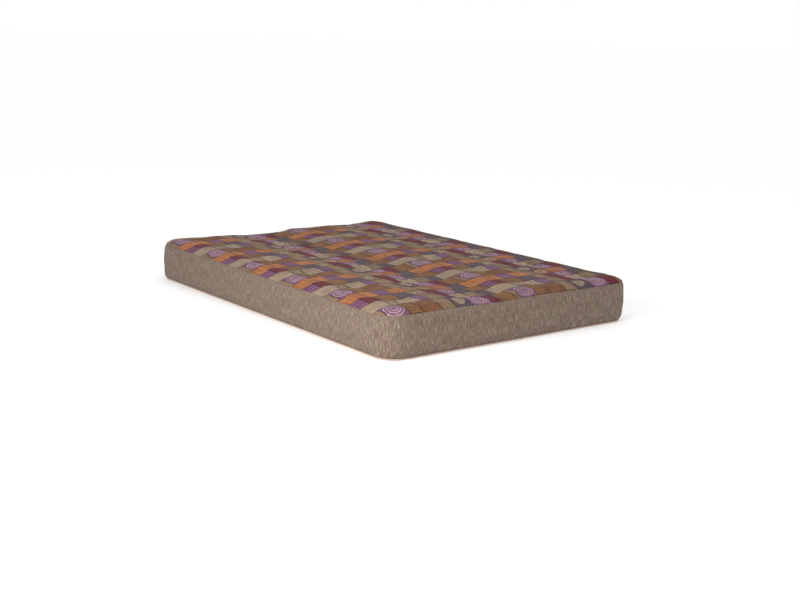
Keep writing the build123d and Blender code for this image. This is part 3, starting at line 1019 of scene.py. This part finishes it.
def rosette(x, y, z, up, flower=8, segments=32):
    """One felt tuft: a scalloped, domed disc with a pinched middle. Points and faces."""
    radii = np.array([0.0015, 0.004, 0.0075, 0.0105, 0.0125, 0.0132, 0.0125, 0.0105])
    heights = np.array([0.0022, 0.0036, 0.0046, 0.0043, 0.0034, 0.0020, 0.0006, 0.0])
    angle = np.linspace(0, 2 * math.pi, segments, endpoint=False)
    petal = 1 + 0.05 * np.cos(flower * angle)[None] * (radii / radii.max())[:, None]
    crease = 0.0006 * np.cos(flower * angle)[None] * (heights / heights.max())[:, None]
    px = x + radii[:, None] * petal * np.cos(angle)
    py = y + radii[:, None] * petal * np.sin(angle)
    pz = z + up * (heights[:, None] + crease)
    points = listed(px, py, pz)
    index = np.arange(len(radii) * segments).reshape(len(radii), segments)
    faces = quads(np.concatenate([index, index[:, :1]], 1))
    return points, faces if up > 0 else faces[:, ::-1], index[0], index[-1]


def tuft_set(name, tufts, z_at, up):
    """The tufts of one side of one half, as one piece of separate rosettes."""
    points, faces, count = [], [], 0
    for x, y in tufts:
        own, own_faces, hub, base = rosette(x, y, z_at(x, y), up)
        points.append(own)
        faces += (own_faces + count).tolist()
        faces.append((hub + count).tolist()[:: up])
        faces.append((base + count).tolist()[:: -up])
        count += len(own)
    points = np.concatenate(points)
    corner_uv = np.concatenate([points[list(face)][:, :2] for face in faces])
    return dress(make(name, points, faces, corner_uv), FELT)


def cup_top(x, y):
    """Height of the ticking's top at a tuft."""
    at_x, at_y = np.array([x]), np.array([y])
    return float(ticking_high(at_x, at_y)[0] - cups(at_x, at_y)[0])


def cup_low(x, y):
    """Height of the ticking's underside at a tuft."""
    return float(TICKING_LOW + cups(np.array([x]), np.array([y]))[0])


def twine(x, y, phase):
    """One strand of a tuft's twine, from knot to knot."""
    z = np.arange(cup_low(x, y) - TWINE_RISE, cup_top(x, y) + TWINE_RISE, 0.002)
    turn = 2 * math.pi * z / 0.007 + phase
    return np.column_stack([x + 0.0006 * np.cos(turn), y + 0.0006 * np.sin(turn), z])


def knot(x, y, z):
    """A thrown knot: the twine goes round twice in a small trefoil."""
    t = np.linspace(0, 2 * math.pi, 40)
    ring = 0.0016 * (1 + 0.35 * np.cos(3 * t))
    return np.column_stack(
        [x + ring * np.cos(2 * t), y + ring * np.sin(2 * t), z + 0.0011 * np.sin(3 * t)]
    )


for half, side in (("seat", -1), ("back", 1)):
    own = [(x, y) for x, y in TUFTS if y * side > 0]
    upper = tuft_set(f"rosettes_top_{half}", own, cup_top, 1)
    lower = tuft_set(f"rosettes_underside_{half}", own, cup_low, -1)
    lines = [twine(x, y, phase) for x, y in own for phase in (0, math.pi)]
    lines += [knot(x, y, cup_top(x, y) + KNOT_RISE) for x, y in own]
    lines += [knot(x, y, cup_low(x, y) - KNOT_RISE) for x, y in own]
    cords = tube(f"tuft_twine_{half}", lines, 0.0006, sides=6, paint=TWINE)
    for obj, node in ((upper, "tufts_top"), (lower, "tufts_underside"), (cords, "tuft_cords")):
        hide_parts(f"{node}_{half}")
        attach(obj, f"{half}_half")


# ---------------------------------------------------------------- zip
TOOTH_PITCH = 0.0022  # from loop to loop of one coil


def strip(name, x_range, y_of, z_range, step_x, rows, paint, thickness):
    """A cloth strip that stands on its long edge, its outer face towards +Y."""
    x, z = np.meshgrid(
        np.arange(x_range[0], x_range[1] + step_x / 2, step_x), np.linspace(*z_range, rows), indexing="ij"
    )
    points = listed(x, y_of(x, z), z)
    faces = grid_faces(x)[:, ::-1]
    return panel(name, points, faces, points[faces][..., [0, 2]], paint, thickness)


def tooth(x, up, side_y, reach):
    """One loop of a zip's coil: a bent wire from the tape to the middle line and back."""
    z_tape = ZIP_Z + up * reach
    z_middle = ZIP_Z + up * 0.0004
    t = np.linspace(0, 1, 9)
    z = z_tape + (z_middle - z_tape) * np.sin(math.pi * t)
    y = side_y - 0.0004 - 0.0017 * (1 - t)
    return np.column_stack([x + 0.0011 * t, y, z])


for name, up in (("upper", 1), ("lower", -1)):
    tape_low, tape_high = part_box(f"zip_tape_{name}")
    tape = strip(
        f"woven_tape_{name}",
        (tape_low.x, tape_high.x),
        lambda x, z, face=tape_high.y: face + 0.0001 * np.sin(x * 90),
        (tape_low.z, tape_high.z),
        step_x=0.01,
        rows=6,
        paint=TAPE,
        thickness=0.0007,
    )
    coil_low, coil_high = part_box(f"zip_coil_{name}")
    reach = max(abs(coil_low.z - ZIP_Z), abs(coil_high.z - ZIP_Z))
    starts = np.arange(coil_low.x + 0.001, coil_high.x - 0.0015, TOOTH_PITCH)
    if up < 0:
        starts = starts + TOOTH_PITCH / 2
    coil = tube(
        f"wound_coil_{name}",
        [tooth(x, up, coil_high.y, reach) for x in starts],
        radius=0.00042,
        sides=5,
        paint=COIL,
    )
    for obj, node in ((tape, "zip_tape"), (coil, "zip_coil")):
        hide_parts(f"{node}_{name}")
        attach(obj, "back_half")

for name in ("zip_end_stops", "zip_slider", "zip_pull"):
    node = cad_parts[name]
    node.data.materials.clear()
    node.data.materials.append(STEEL.material)


# ---------------------------------------------------------------- care label
label_low, label_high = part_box("care_label")
y, z = np.meshgrid(
    np.linspace(label_low.y, label_high.y, 19), np.linspace(label_low.z, label_high.z, 12), indexing="ij"
)
sag = 0.0003 * np.sin((y - label_low.y) * 70) + 0.0002 * np.sin(z * 160)
points = listed(-(LENGTH / 2 + side_offset(z) - 0.0032 + sag), y, z)
faces = grid_faces(y)[:, ::-1]
label = panel("sewn_label", points, faces, points[faces][..., 1:], LABEL, 0.0004)
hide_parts("care_label")
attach(label, "back_half")


# ---------------------------------------------------------------- floor, light and camera
scene = bpy.context.scene
scene.view_settings.view_transform = "Standard"

# A wide white floor, just below the underside so that the two don't lie in one plane
bpy.ops.mesh.primitive_plane_add(size=300, location=(0, 0, -0.0004))
floor = bpy.context.object
floor.name = "floor"
ground = Paint("floor")
ground.shader.inputs["Emission Color"].default_value = rgb(255, 255, 255)
ground.shader.inputs["Emission Strength"].default_value = 0.2
floor.data.materials.append(ground.finish(rgb(250, 250, 249), 0.9).material)

# A white surround, dimmer from the front (-Y) than from behind
world = bpy.data.worlds.new("studio")
scene.world = world
world.use_nodes = True
nodes, links = world.node_tree.nodes, world.node_tree.links
background = nodes["Background"]
background.inputs[0].default_value = (1, 1, 1, 1)
toward = nodes.new("ShaderNodeSeparateXYZ")
dimmer = nodes.new("ShaderNodeMapRange")
for name, value in (("From Min", -0.6), ("From Max", 0.05), ("To Min", 0.45), ("To Max", 1.0)):
    dimmer.inputs[name].default_value = value
links.new(nodes.new("ShaderNodeTexCoord").outputs["Generated"], toward.inputs[0])
links.new(toward.outputs["Y"], dimmer.inputs["Value"])
links.new(dimmer.outputs[0], background.inputs[1])

# A round soft light from the front right, aimed at the near corner
key = bpy.data.objects.new("key", bpy.data.lights.new("key", "AREA"))
key.data.shape = "DISK"
key.data.size = 1.4
key.data.energy = 70
key.location = (1.5, -2.9, 1.3)
key.rotation_euler = (Vector((0.7, -0.6, 0.1)) - key.location).to_track_quat("-Z", "Y").to_euler()
scene.collection.objects.link(key)


def aim_camera(place, yaw, pitch, roll, lens):
    """A camera looking along yaw (clockwise from +Y) and pitch (down), tilted by roll."""
    ahead = Vector(
        (math.sin(yaw) * math.cos(pitch), math.cos(yaw) * math.cos(pitch), -math.sin(pitch))
    )
    flat = Vector((math.cos(yaw), -math.sin(yaw), 0))
    upright = flat.cross(ahead)
    right = math.cos(roll) * flat + math.sin(roll) * upright
    up = math.cos(roll) * upright - math.sin(roll) * flat
    matrix = Matrix((right, up, -ahead)).transposed().to_4x4()
    matrix.translation = place
    camera = bpy.data.objects.new("camera", bpy.data.cameras.new("camera"))
    camera.data.lens = lens
    camera.matrix_world = matrix
    scene.collection.objects.link(camera)
    scene.camera = camera


aim_camera(place=(4.42534, -3.36229, 1.23194), yaw=-0.90477, pitch=0.21996, roll=0.02945, lens=53.62)
